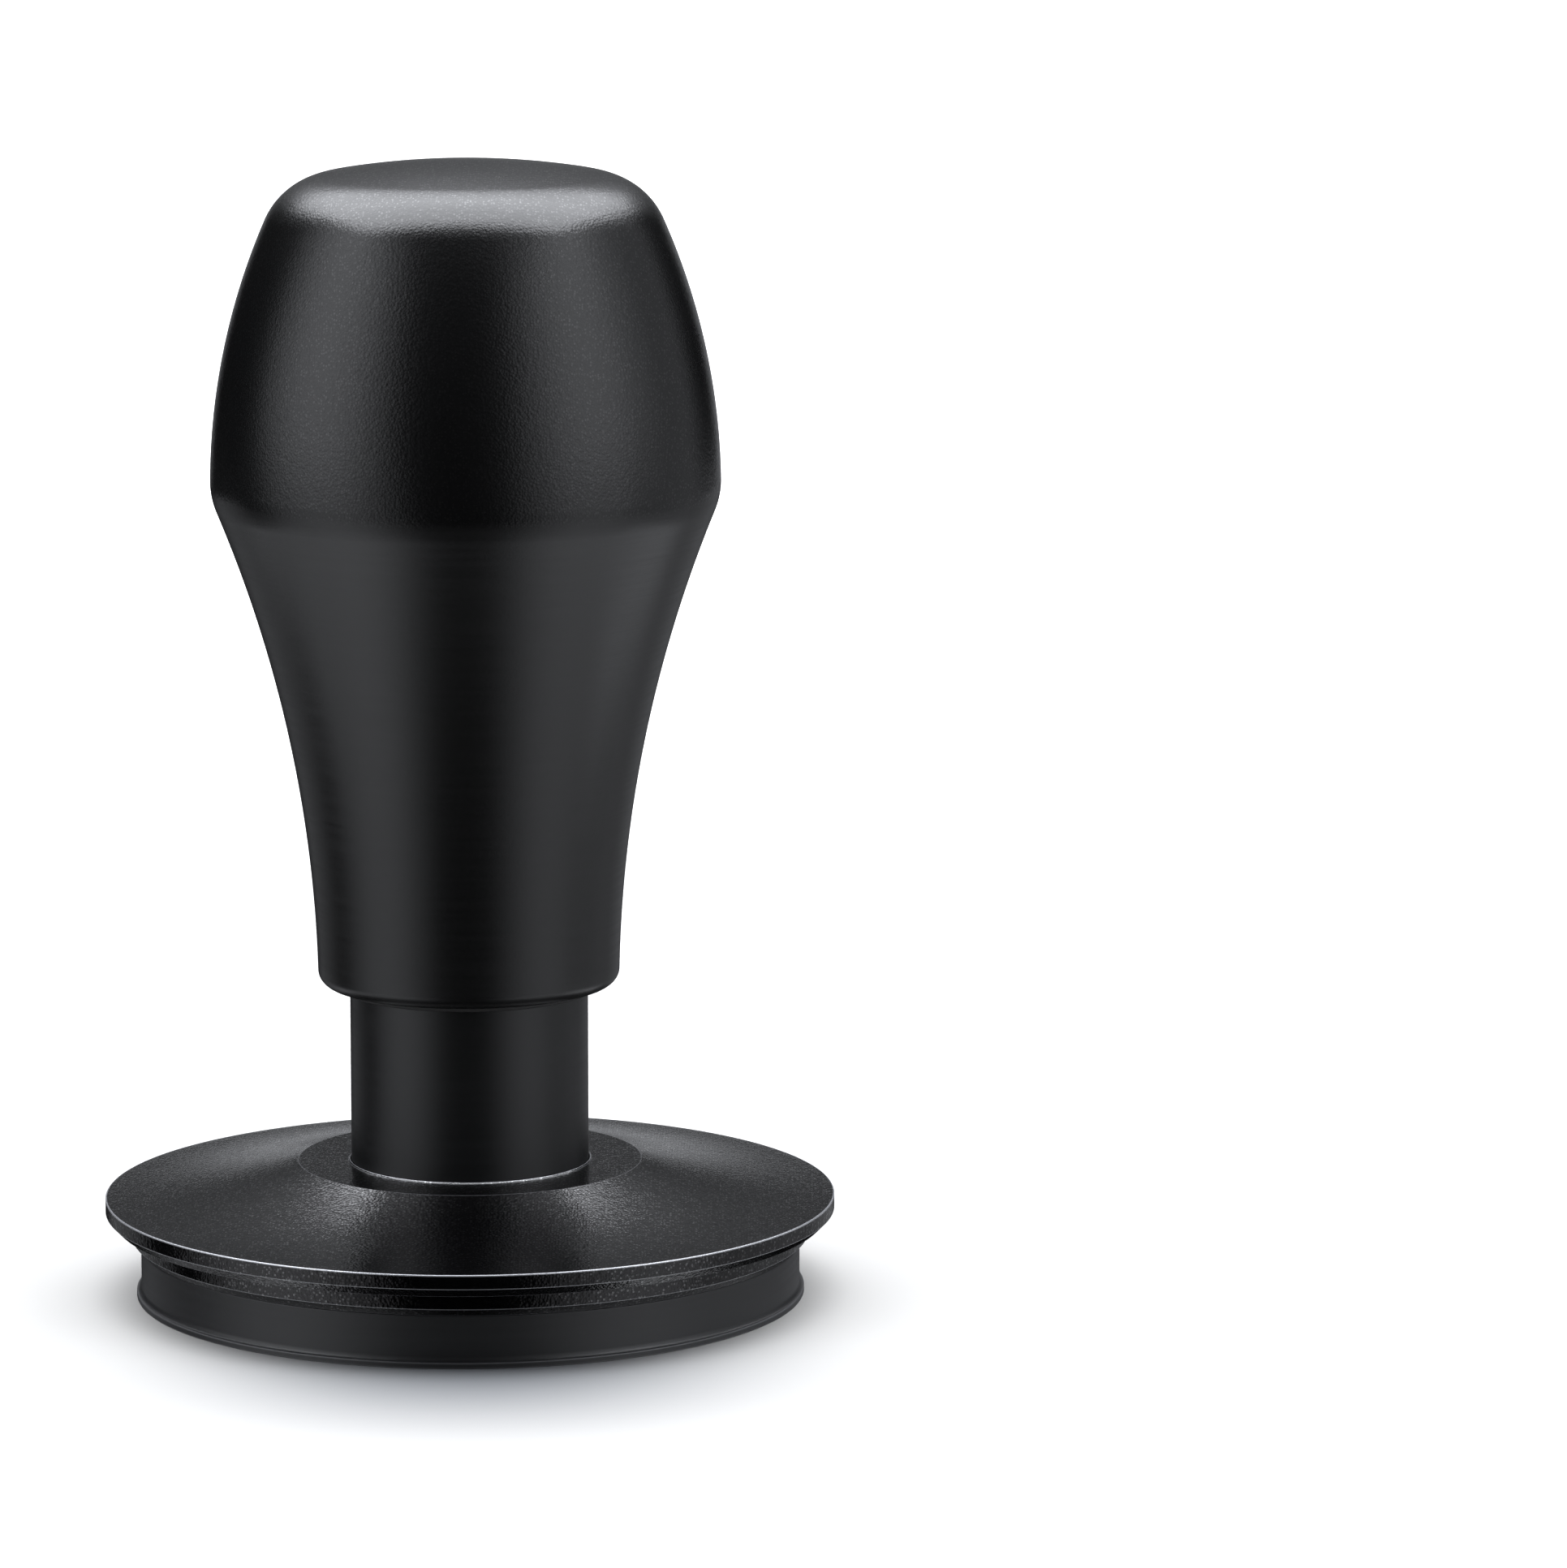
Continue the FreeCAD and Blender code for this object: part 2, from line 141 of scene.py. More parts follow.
class TamperFinish(bpy.types.PropertyGroup):
    """Colours and surface character."""

    anodise: colour("Anodise", "Colour of the black anodised aluminium", (0.0007, 0.0007, 0.0008))
    plate_skin: colour("Plate skin", "Colour of the blasted plate", (0.0003, 0.0003, 0.0004))
    coating: colour("Coating", "Colour of the black coating on the base", (0.0080, 0.0082, 0.0088))
    stem: colour("Stem", "Colour of the black stem", (0.0028, 0.0029, 0.0032))
    turned: colour("Turned anodise", "Colour of the handle's turned lower part", (0.0016, 0.0016, 0.0017))
    # Edge colour: partly rubbed-bare metal, partly painted highlight on the edges.
    edge: colour("Edge", "Colour of the polished, broken edges", (0.30, 0.305, 0.32))
    plastic: colour("Plastic", "Colour of the bearing plastic", (0.018, 0.018, 0.020))
    rubber: colour("Rubber", "Colour of the rubber", (0.010, 0.010, 0.010))
    bright_steel: colour("Bright steel", "Colour of the plain steel", (0.56, 0.57, 0.59))
    handle_grain: length("Handle grain", "Size of the bead-blasted grain on the handle", 0.22 * MM)
    plate_grain: length("Plate grain", "Size of the bead-blasted grain on the plate", 0.25 * MM)
    handle_depth: length("Handle grain depth", "Depth of the grain on the handle", 0.012 * MM)
    plate_depth: length("Plate grain depth", "Depth of the grain on the plate", 0.018 * MM)
    handle_glint: amount("Handle glint", "Refractive index of a facet on the handle", 1.32, 3.0)
    plate_glint: amount("Plate glint", "Refractive index of a facet on the plate", 1.9, 3.0)
    blast_roughness: amount("Blast roughness", "Roughness of the blasted handle", 0.28)
    plate_roughness: amount("Plate roughness", "Roughness of the blasted plate", 0.165)
    turned_roughness: amount("Turned roughness", "Roughness of the turned skin", 0.33)


class TamperStudio(bpy.types.PropertyGroup):
    """Camera, lights and floor."""

    distance: length("Camera distance", "Distance of the camera along Y", 742.56 * MM)
    height: length("Camera height", "Height of the camera", 176.96 * MM)
    side: length("Camera side", "Offset of the camera along X", 27.44 * MM)
    tilt: FloatProperty(
        name="Tilt", description="Downward tilt of the camera", default=math.radians(10.075),
        subtype="ANGLE", unit="ROTATION")
    focal: FloatProperty(name="Focal length", description="Focal length in millimetres", default=199.25)
    key: amount("Overhead light", "Radiance of the overhead softbox", 7.0, 100.0)
    left: amount("Left light", "Radiance of the left softbox", 1.8, 100.0)
    right: amount("Right light", "Radiance of the right softbox", 1.6, 100.0)
    back: amount("Back light", "Radiance of the softboxes behind", 1.0, 100.0)
    floor: colour("Floor", "Colour of the floor", (0.410, 0.405, 0.392))
    # Painted shade: a darker floor colour laid in a soft patch before the base, over the shadow that the
    # lights cast.
    shade: colour("Shade", "Colour of the floor in the shade before the base", (0.128, 0.134, 0.141))


# ---- outlines -------------------------------------------------------------


class Outline:
    """Half section of a turned piece: (radius, height) points and edge marks."""

    def __init__(self):
        self.points = []
        self.marks = []

    def add(self, point, mark=0.0):
        point = Vector(point)
        if not self.points or (self.points[-1] - point).length > 1e-7:
            self.points.append(point)
            self.marks.append(mark)

    def corners(self, corners):
        """Straight runs through (radius, height, rounding) corners.

        A corner may have a fourth value, the brightness of its edge: partly rubbed-bare metal, partly
        painted highlight.
        """
        last = len(corners) - 1
        for index, (r, z, rounding, *mark) in enumerate(corners):
            if rounding == 0 or index in (0, last):
                self.add((r, z))
            else:
                before = Vector(corners[index - 1][:2])
                after = Vector(corners[index + 1][:2])
                self.round_corner(before, Vector((r, z)), after, rounding, *mark)

    def round_corner(self, before, here, after, rounding, mark=0.0, steps=5):
        """Tangent arc at a corner, with a support point on each side of it."""
        back = (before - here).normalized()
        on = (after - here).normalized()
        half = back.angle(on) / 2
        reach = rounding / math.tan(half)
        centre = here + (back + on).normalized() * rounding / math.sin(half)
        support = reach + rounding * 0.6
        self.add(here + back * support)
        for point in swung(here + back * reach, here + on * reach, centre, steps):
            self.add(point, mark)
        self.add(here + on * support)

    def lean_arc(self, start_deg, end_deg, radius, steps):
        """Arc from the last point while the wall's lean from the vertical turns."""
        start = self.points[-1].copy()
        sign = 1 if end_deg > start_deg else -1
        first = math.radians(start_deg)
        for step in range(1, steps + 1):
            lean = math.radians(start_deg + (end_deg - start_deg) * step / steps)
            across = sign * radius * (math.cos(first) - math.cos(lean))
            up = sign * radius * (math.sin(lean) - math.sin(first))
            self.add(start + Vector((across, up)))

    def sag_arc(self, end, sag, steps):
        """Shallow arc from the last point to end."""
        for point in sagging(self.points[-1], Vector(end), sag, steps)[1:]:
            self.add(point)

    def arc(self, end, radius, sign, steps=8):
        """Arc from the last point to end, bulging to the side that sign gives."""
        start, end = self.points[-1].copy(), Vector(end)
        chord = end - start
        rise = math.sqrt(radius ** 2 - (chord.length / 2) ** 2)
        normal = Vector((-chord.y, chord.x)).normalized()
        centre = (start + end) / 2 + normal * rise * sign
        for point in swung(start, end, centre, steps)[1:-1]:
            self.add(point)
        self.add(end)


def swung(start, end, centre, steps):
    """Points of the arc that a radius draws from start to end."""
    arm = start - centre
    turn = arm.angle_signed(end - centre)
    points = []
    for step in range(steps + 1):
        angle = -turn * step / steps
        cos, sin = math.cos(angle), math.sin(angle)
        points.append(centre + Vector((arm.x * cos - arm.y * sin, arm.x * sin + arm.y * cos)))
    return points


def sagging(start, end, sag, steps):
    """Points of a shallow arc whose sag is to the right of travel."""
    chord = end - start
    normal = Vector((chord.y, -chord.x)).normalized()
    points = []
    for step in range(steps + 1):
        part = step / steps
        points.append(start + chord * part + normal * sag * 4 * part * (1 - part))
    return points


# ---- geometry nodes -------------------------------------------------------


def new_tree(name, inputs):
    """Geometry tree with a Geometry socket at each end and named inputs."""
    tree = bpy.data.node_groups.new(name, "GeometryNodeTree")
    tree.interface.new_socket("Geometry", in_out="INPUT", socket_type="NodeSocketGeometry")
    for label, kind in inputs:
        tree.interface.new_socket(label, in_out="INPUT", socket_type=kind)
    tree.interface.new_socket("Geometry", in_out="OUTPUT", socket_type="NodeSocketGeometry")
    return tree


def add_node(tree, kind, **settings):
    node = tree.nodes.new(kind)
    for key, value in settings.items():
        setattr(node, key, value)
    return node


def finish_tree(tree, start, shape):
    """Smooths the shape, makes it real, paints it and sends it out."""
    link = tree.links.new
    smooth = add_node(tree, "GeometryNodeSetShadeSmooth")
    real = add_node(tree, "GeometryNodeRealizeInstances")
    paint = add_node(tree, "GeometryNodeSetMaterial")
    end = add_node(tree, "NodeGroupOutput")
    link(shape, smooth.inputs["Geometry"])
    link(smooth.outputs[0], real.inputs["Geometry"])
    link(real.outputs[0], paint.inputs["Geometry"])
    link(start.outputs["Material"], paint.inputs["Material"])
    link(paint.outputs[0], end.inputs["Geometry"])


def lathe_grid(tree, start):
    """Grid with a row for each outline point; gives it and its two indices."""
    link = tree.links.new
    count = add_node(tree, "GeometryNodeAttributeDomainSize", component="MESH")
    columns = add_node(tree, "FunctionNodeIntegerMath", operation="ADD")
    columns.inputs[1].default_value = 1
    grid = add_node(tree, "GeometryNodeMeshGrid")
    index = add_node(tree, "GeometryNodeInputIndex")
    row = add_node(tree, "FunctionNodeIntegerMath", operation="DIVIDE_FLOOR")
    column = add_node(tree, "FunctionNodeIntegerMath", operation="MODULO")
    link(start.outputs["Geometry"], count.inputs["Geometry"])
    link(start.outputs["Segments"], columns.inputs[0])
    link(count.outputs["Point Count"], grid.inputs["Vertices X"])
    link(columns.outputs[0], grid.inputs["Vertices Y"])
    for node in (row, column):
        link(index.outputs[0], node.inputs[0])
        link(columns.outputs[0], node.inputs[1])
    return grid.outputs["Mesh"], row.outputs[0], column.outputs[0]


def outline_sample(tree, start, row, value, data_type):
    """Value that the outline point of a grid row carries."""
    link = tree.links.new
    sample = add_node(tree, "GeometryNodeSampleIndex", data_type=data_type)
    link(start.outputs["Geometry"], sample.inputs["Geometry"])
    link(value, sample.inputs["Value"])
    link(row, sample.inputs["Index"])
    return sample.outputs[0]


def lathe_turn(tree, start, column, place):
    """Place of an outline point, turned about Z by its column's share of a circle."""
    link = tree.links.new
    share = add_node(tree, "ShaderNodeMath", operation="DIVIDE")
    angle = add_node(tree, "ShaderNodeMath", operation="MULTIPLY")
    angle.inputs[1].default_value = 2 * math.pi
    turn = add_node(tree, "ShaderNodeVectorRotate", rotation_type="Z_AXIS")
    link(column, share.inputs[0])
    link(start.outputs["Segments"], share.inputs[1])
    link(share.outputs[0], angle.inputs[0])
    link(place, turn.inputs["Vector"])
    link(angle.outputs[0], turn.inputs["Angle"])
    return turn.outputs[0]


def lathe_tree():
    """Spins an outline, drawn as a chain of vertices, about the Z axis."""
    name = "Turned piece"
    if name in bpy.data.node_groups:
        return bpy.data.node_groups[name]
    tree = new_tree(name, [("Segments", "NodeSocketInt"), ("Material", "NodeSocketMaterial")])
    link = tree.links.new
    start = add_node(tree, "NodeGroupInput")
    place = add_node(tree, "GeometryNodeInputPosition")
    # Edge brightness, partly rubbed-bare metal and partly painted highlight, carried onto the turned
    # mesh.
    mark = add_node(tree, "GeometryNodeInputNamedAttribute", data_type="FLOAT")
    mark.inputs["Name"].default_value = EDGE_WEAR_AND_HIGHLIGHT
    store = add_node(tree, "GeometryNodeStoreNamedAttribute", data_type="FLOAT", domain="POINT")
    store.inputs["Name"].default_value = EDGE_WEAR_AND_HIGHLIGHT
    move = add_node(tree, "GeometryNodeSetPosition")
    merge = add_node(tree, "GeometryNodeMergeByDistance")
    merge.inputs["Distance"].default_value = 1e-7
    grid, row, column = lathe_grid(tree, start)
    point = outline_sample(tree, start, row, place.outputs[0], "FLOAT_VECTOR")
    wear_and_highlight = outline_sample(tree, start, row, mark.outputs["Attribute"], "FLOAT")
    link(grid, store.inputs["Geometry"])
    link(wear_and_highlight, store.inputs["Value"])
    link(store.outputs[0], move.inputs["Geometry"])
    link(lathe_turn(tree, start, column, point), move.inputs["Position"])
    link(move.outputs[0], merge.inputs["Geometry"])
    finish_tree(tree, start, merge.outputs[0])
    return tree


def spring_tree():
    """Coil of round wire that stands on the Z axis."""
    sizes = ("Low", "Height", "Coil radius", "Wire radius", "Turns")
    inputs = [(label, "NodeSocketFloat") for label in sizes]
    tree = new_tree("Coil spring", [*inputs, ("Material", "NodeSocketMaterial")])
    link = tree.links.new
    start = add_node(tree, "NodeGroupInput")
    coil = add_node(tree, "GeometryNodeCurveSpiral")
    coil.inputs["Resolution"].default_value = 48
    wire = add_node(tree, "GeometryNodeCurvePrimitiveCircle")
    wire.inputs["Resolution"].default_value = 20
    lift = add_node(tree, "ShaderNodeCombineXYZ")
    move = add_node(tree, "GeometryNodeTransform")
    tube = add_node(tree, "GeometryNodeCurveToMesh")
    tube.inputs["Fill Caps"].default_value = True
    link(start.outputs["Turns"], coil.inputs["Rotations"])
    link(start.outputs["Coil radius"], coil.inputs["Start Radius"])
    link(start.outputs["Coil radius"], coil.inputs["End Radius"])
    link(start.outputs["Height"], coil.inputs["Height"])
    link(start.outputs["Wire radius"], wire.inputs["Radius"])
    link(start.outputs["Low"], lift.inputs["Z"])
    link(coil.outputs["Curve"], move.inputs["Geometry"])
    link(lift.outputs[0], move.inputs["Translation"])
    link(move.outputs[0], tube.inputs["Curve"])
    link(wire.outputs["Curve"], tube.inputs["Profile Curve"])
    finish_tree(tree, start, tube.outputs[0])
    return tree


def grow(name, tree, source, values):
    """Runs a tree on a source mesh and keeps its result as a plain piece."""
    seed = bpy.data.objects.new(name + "_seed", source)
    bpy.context.scene.collection.objects.link(seed)
    modifier = seed.modifiers.new("Grow", "NODES")
    modifier.node_group = tree
    for item in tree.interface.items_tree:
        if item.item_type == "SOCKET" and item.in_out == "INPUT" and item.name in values:
            modifier[item.identifier] = values[item.name]
    graph = bpy.context.evaluated_depsgraph_get()
    mesh = bpy.data.meshes.new_from_object(seed.evaluated_get(graph))
    seed.modifiers.clear()
    bpy.data.objects.remove(seed)
    tidy = bmesh.new()
    tidy.from_mesh(mesh)
    bmesh.ops.recalc_face_normals(tidy, faces=tidy.faces)
    tidy.to_mesh(mesh)
    tidy.free()
    mesh.name = name
    piece = bpy.data.objects.new(name, mesh)
    bpy.context.scene.collection.objects.link(piece)
    return piece


def turned(name, outline, material, segments):
    """Piece made by spinning an outline about the Z axis."""
    chain = bpy.data.meshes.new(name + "_outline")
    places = [(point.x, 0.0, point.y) for point in outline.points]
    links = [(index, index + 1) for index in range(len(places) - 1)]
    chain.from_pydata(places, links, [])
    marks = chain.attributes.new(EDGE_WEAR_AND_HIGHLIGHT, "FLOAT", "POINT")
    marks.data.foreach_set("value", outline.marks)
    return grow(name, lathe_tree(), chain, {"Segments": segments, "Material": material})


def place(piece, body, slot, *nodes):
    """Gives a piece its body and hides the nodes it stands for; the slot argument is not used."""
    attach(piece, body)
    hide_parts(*nodes)


# ---- shader groups --------------------------------------------------------


def shader_group(name, inputs, outputs):
    """Empty shader group, with its input and output nodes."""
    tree = bpy.data.node_groups.new(name, "ShaderNodeTree")
    for label in inputs:
        kind = "NodeSocketVector" if label == "Vector" else "NodeSocketFloat"
        tree.interface.new_socket(label, in_out="INPUT", socket_type=kind)
    for label in outputs:
        tree.interface.new_socket(label, in_out="OUTPUT", socket_type="NodeSocketFloat")
    return tree, add_node(tree, "NodeGroupInput"), add_node(tree, "NodeGroupOutput")


def noise_node(tree, vector, scale=None, detail=2.0, roughness=0.5):
    node = add_node(tree, "ShaderNodeTexNoise")
    node.inputs["Detail"].default_value = detail
    node.inputs["Roughness"].default_value = roughness
    if scale is not None:
        node.inputs["Scale"].default_value = scale
    tree.links.new(vector, node.inputs["Vector"])
    return node


def math_node(tree, operation, first, second):
    """Math node whose inputs are sockets or numbers."""
    node = add_node(tree, "ShaderNodeMath", operation=operation)
    for socket, value in zip(node.inputs, (first, second)):
        if isinstance(value, (int, float)):
            socket.default_value = value
        else:
            tree.links.new(value, socket)
    return node.outputs[0]


def ramp_node(tree, value, low, high, to_low=0.0, to_high=1.0):
    """Smooth step of a value from one range to another."""
    node = add_node(tree, "ShaderNodeMapRange", interpolation_type="SMOOTHSTEP")
    tree.links.new(value, node.inputs["Value"])
    node.inputs["From Min"].default_value = low
    node.inputs["From Max"].default_value = high
    node.inputs["To Min"].default_value = to_low
    node.inputs["To Max"].default_value = to_high
    return node.outputs["Result"]


def blast_group():
    """Bead-blasted skin: fine grains on coarser hills, and a slow cloud."""
    name = "Blasted skin"
    if name in bpy.data.node_groups:
        return bpy.data.node_groups[name]
    tree, start, end = shader_group(
        name,
        ("Vector", "Grain"),
        ("Height", "Speck", "Cloud"),
    )
    link = tree.links.new
    vector = start.outputs["Vector"]
    fine = math_node(tree, "DIVIDE", 1.0, start.outputs["Grain"])
    grains = add_node(tree, "ShaderNodeTexVoronoi", feature="F1")
    link(vector, grains.inputs["Vector"])
    link(fine, grains.inputs["Scale"])
    random = add_node(tree, "ShaderNodeSeparateColor")
    link(grains.outputs["Color"], random.inputs[0])
    dome = math_node(tree, "SUBTRACT", 1.0, grains.outputs["Distance"])
    hills = noise_node(tree, vector, None, 1.0, 0.5)
    link(math_node(tree, "MULTIPLY", fine, 0.5), hills.inputs["Scale"])
    cloud = noise_node(tree, vector, 90.0, 3.0, 0.5)
    dot = ramp_node(tree, grains.outputs["Distance"], 0.50, 0.30)
    chance = ramp_node(tree, random.outputs[0], 0.3, 1.0)
    link(math_node(tree, "ADD", dome, hills.outputs["Fac"]), end.inputs["Height"])
    link(math_node(tree, "MULTIPLY", dot, chance), end.inputs["Speck"])
    link(cloud.outputs["Fac"], end.inputs["Cloud"])
    return tree


def turning_group():
    """Fine rings that a lathe leaves, by height on walls and by radius on faces."""
    name = "Turning marks"
    if name in bpy.data.node_groups:
        return bpy.data.node_groups[name]
    tree, start, end = shader_group(
        name,
        ("Vector", "Pitch"),
        ("Height", "Streak"),
    )
    link = tree.links.new
    parts = add_node(tree, "ShaderNodeSeparateXYZ")
    link(start.outputs["Vector"], parts.inputs[0])
    across = add_node(tree, "ShaderNodeVectorMath", operation="MULTIPLY")
    across.inputs[1].default_value = (1.0, 1.0, 0.0)
    link(start.outputs["Vector"], across.inputs[0])
    reach = add_node(tree, "ShaderNodeVectorMath", operation="LENGTH")
    link(across.outputs[0], reach.inputs[0])
    travel = math_node(tree, "ADD", parts.outputs["Z"], reach.outputs["Value"])
    fine = math_node(tree, "DIVIDE", 1.0, start.outputs["Pitch"])
    rings = add_node(tree, "ShaderNodeTexNoise", noise_dimensions="1D")
    rings.inputs["Detail"].default_value = 3.0
    rings.inputs["Roughness"].default_value = 0.65
    rings.inputs["Scale"].default_value = 1.0
    link(math_node(tree, "MULTIPLY", travel, fine), rings.inputs["W"])
    squash = add_node(tree, "ShaderNodeVectorMath", operation="MULTIPLY")
    squash.inputs[1].default_value = (60.0, 60.0, 2600.0)
    link(start.outputs["Vector"], squash.inputs[0])
    streaks = noise_node(tree, squash.outputs[0], 1.0, 2.0, 0.5)
    link(rings.outputs["Fac"], end.inputs["Height"])
    link(streaks.outputs["Fac"], end.inputs["Streak"])
    return tree


def use_group(tree, group, **values):
    """Group node whose inputs are set by name, from sockets or numbers."""
    node = add_node(tree, "ShaderNodeGroup", node_tree=group)
    for label, value in values.items():
        if isinstance(value, (int, float)):
            node.inputs[label].default_value = value
        else:
            tree.links.new(value, node.inputs[label])
    return node


class Finish:
    """A material with its Principled shader and Object coordinates at hand."""

    def __init__(self, name, ior=1.5):
        self.material = bpy.data.materials.new(name)
        self.material.use_nodes = True
        self.tree = self.material.node_tree
        self.shader = self.tree.nodes["Principled BSDF"]
        self.shader.inputs["IOR"].default_value = ior
        self.where = add_node(self.tree, "ShaderNodeTexCoord").outputs["Object"]

    def link(self, output, label):
        self.tree.links.new(output, self.shader.inputs[label])

    def mix_colour(self, mask, first, second):
        """First colour where the mask is 0, second where it is 1."""
        node = add_node(self.tree, "ShaderNodeMix", data_type="RGBA")
        self.tree.links.new(mask, node.inputs["Factor"])
        for socket, value in ((node.inputs[6], first), (node.inputs[7], second)):
            if isinstance(value, bpy.types.NodeSocket):
                self.tree.links.new(value, socket)
            else:
                socket.default_value = (*value, 1.0)
        return node.outputs[2]

    def mix_value(self, mask, first, second):
        """First value where the mask is 0, second where it is 1."""
        node = add_node(self.tree, "ShaderNodeMix", data_type="FLOAT")
        for socket, value in zip(node.inputs[:1] + node.inputs[2:4], (mask, first, second)):
            self.tree.links.new(value, socket)
        return node.outputs[0]

    def around(self, noise, middle, spread):
        """Value that a noise from 0 to 1 moves to both sides of its middle."""
        node = add_node(self.tree, "ShaderNodeMath", operation="MULTIPLY_ADD")
        self.tree.links.new(noise, node.inputs[0])
        node.inputs[1].default_value = spread
        node.inputs[2].default_value = middle - spread / 2
        return node.outputs[0]

    def wear_and_highlight_mark(self):
        """Brightness of the edges, which the outline carries: partly rubbed-bare metal, partly painted
        highlight.
        """
        node = add_node(self.tree, "ShaderNodeAttribute", attribute_name=EDGE_WEAR_AND_HIGHLIGHT)
        return node.outputs["Fac"]

    def bump(self, height, distance):
        node = add_node(self.tree, "ShaderNodeBump")
        node.inputs["Strength"].default_value = 1.0
        node.inputs["Distance"].default_value = distance
        self.tree.links.new(height, node.inputs["Height"])
        return node.outputs["Normal"]


class Blasted:
    """Bead-blasted anodised skin: its group, its roughness and its glinting facets.

    The facets are dots of clear coat, so that they glint where light is mirrored
    and leave the skin black elsewhere.
    """

    def __init__(self, finish, grain, roughness, glint):
        tree = finish.tree
        self.skin = use_group(tree, blast_group(), Vector=finish.where, Grain=grain)
        self.roughness = finish.around(self.skin.outputs["Cloud"], roughness, 0.05)
        self.facets = self.skin.outputs["Speck"]
        finish.shader.inputs["Coat IOR"].default_value = glint
        finish.shader.inputs["Coat Roughness"].default_value = roughness


def handle_material(props):
    """Blasted above the crease, finely turned below it."""
    finish = Finish("Handle black anodise", ior=1.52)
    tree = finish.tree
    blast = Blasted(finish, props.handle_grain, props.blast_roughness, props.handle_glint)
    rings = use_group(tree, turning_group(), Vector=finish.where, Pitch=0.22 * MM)
    parts = add_node(tree, "ShaderNodeSeparateXYZ")
    tree.links.new(finish.where, parts.inputs[0])
    upper = ramp_node(tree, parts.outputs["Z"], CREASE - 0.5 * MM, CREASE + 0.5 * MM)
    pit_depth = ramp_node(tree, upper, 0.0, 1.0, 0.16, 1.0)
    mark_depth = math_node(tree, "MULTIPLY", math_node(tree, "SUBTRACT", 1.0, upper), 0.22)
    pits = math_node(tree, "MULTIPLY", blast.skin.outputs["Height"], pit_depth)
    marks = math_node(tree, "MULTIPLY", rings.outputs["Height"], mark_depth)
    finish.link(finish.bump(math_node(tree, "ADD", pits, marks), props.handle_depth), "Normal")
    streak = finish.around(rings.outputs["Streak"], props.turned_roughness, 0.12)
    finish.link(finish.mix_value(upper, streak, blast.roughness), "Roughness")
    finish.link(finish.mix_colour(upper, props.turned, props.anodise), "Base Color")
    finish.link(math_node(tree, "MULTIPLY", upper, blast.facets), "Coat Weight")
    return finish.material


def plate_material(props):
    """Coarsely blasted plate whose edges are bright: partly rubbed-bare metal, partly painted highlight.
    """
    finish = Finish("Plate black anodise", ior=1.52)
    blast = Blasted(finish, props.plate_grain, props.plate_roughness, props.plate_glint)
    # Painted highlight, in part: the edges are lighter and half metallic by their brightness mark.
    edge = finish.wear_and_highlight_mark()
    finish.link(finish.mix_colour(edge, props.plate_skin, props.edge), "Base Color")
    finish.link(math_node(finish.tree, "MULTIPLY", edge, 0.5), "Metallic")
    finish.link(blast.facets, "Coat Weight")
    finish.link(blast.roughness, "Roughness")
    finish.link(finish.bump(blast.skin.outputs["Height"], props.plate_depth), "Normal")
    return finish.material


def turned_material(name, colour_value, roughness, pitch, props):
    """Satin turned metal with a black skin."""
    finish = Finish(name)
    tree = finish.tree
    rings = use_group(tree, turning_group(), Vector=finish.where, Pitch=pitch)
    # Painted highlight, in part: the edges are lighter by their brightness mark, with rubbed-bare metal.
    edge = finish.wear_and_highlight_mark()
    brighter = tuple(1.5 * c for c in colour_value)
    base = finish.mix_colour(rings.outputs["Streak"], colour_value, brighter)
    wear_and_highlight = math_node(tree, "MULTIPLY", edge, 0.35)
    finish.link(finish.mix_colour(wear_and_highlight, base, props.edge), "Base Color")
    finish.link(finish.around(rings.outputs["Streak"], roughness, 0.10), "Roughness")
    finish.link(finish.bump(rings.outputs["Height"], 0.0016 * MM), "Normal")
    return finish.material


def plain_material(name, colour_value, roughness, metallic, grain):
    """Moulded plastic, rubber or plated steel: mottled colour and fine grain."""
    finish = Finish(name, ior=1.48)
    tree = finish.tree
    mottle = noise_node(tree, finish.where, 400.0, 4.0, 0.55)
    fine = noise_node(tree, finish.where, 1.0 / grain, 2.0, 0.6)
    lighter = tuple(min(1.0, 1.25 * c) for c in colour_value)
    finish.link(finish.mix_colour(mottle.outputs["Fac"], colour_value, lighter), "Base Color")
    finish.link(finish.around(mottle.outputs["Fac"], roughness, 0.16), "Roughness")
    finish.shader.inputs["Metallic"].default_value = metallic
    finish.link(finish.bump(fine.outputs["Fac"], 0.006 * MM), "Normal")
    return finish.material


def floor_material(studio):
    """Matt floor, dark before the base from a painted shade, that glows to white far off."""
    finish = Finish("Floor")
    tree = finish.tree
    link = tree.links.new
    tree.nodes.remove(finish.shader)
    # Painted shade: a soft dark patch in the floor's colour, centred 27 mm before the base and gone at 36
    # mm.
    painted_shade_spot = add_node(tree, "ShaderNodeVectorMath", operation="DISTANCE")
    painted_shade_spot.inputs[1].default_value = (1.5 * MM, -27.0 * MM, 0.0)
    link(finish.where, painted_shade_spot.inputs[0])
    clear = ramp_node(tree, painted_shade_spot.outputs["Value"], 0.0, 36.0 * MM)
    pale = add_node(tree, "ShaderNodeBsdfDiffuse")
    link(finish.mix_colour(clear, studio.shade, studio.floor), pale.inputs["Color"])
    reach = add_node(tree, "ShaderNodeVectorMath", operation="LENGTH")
    link(finish.where, reach.inputs[0])
    glow = add_node(tree, "ShaderNodeEmission")
    link(ramp_node(tree, reach.outputs["Value"], 45.0 * MM, 500.0 * MM), glow.inputs["Strength"])
    both = add_node(tree, "ShaderNodeAddShader")
    link(pale.outputs[0], both.inputs[0])
    link(glow.outputs[0], both.inputs[1])
    link(both.outputs[0], tree.nodes["Material Output"].inputs["Surface"])
    return finish.material


# ---- operators ------------------------------------------------------------


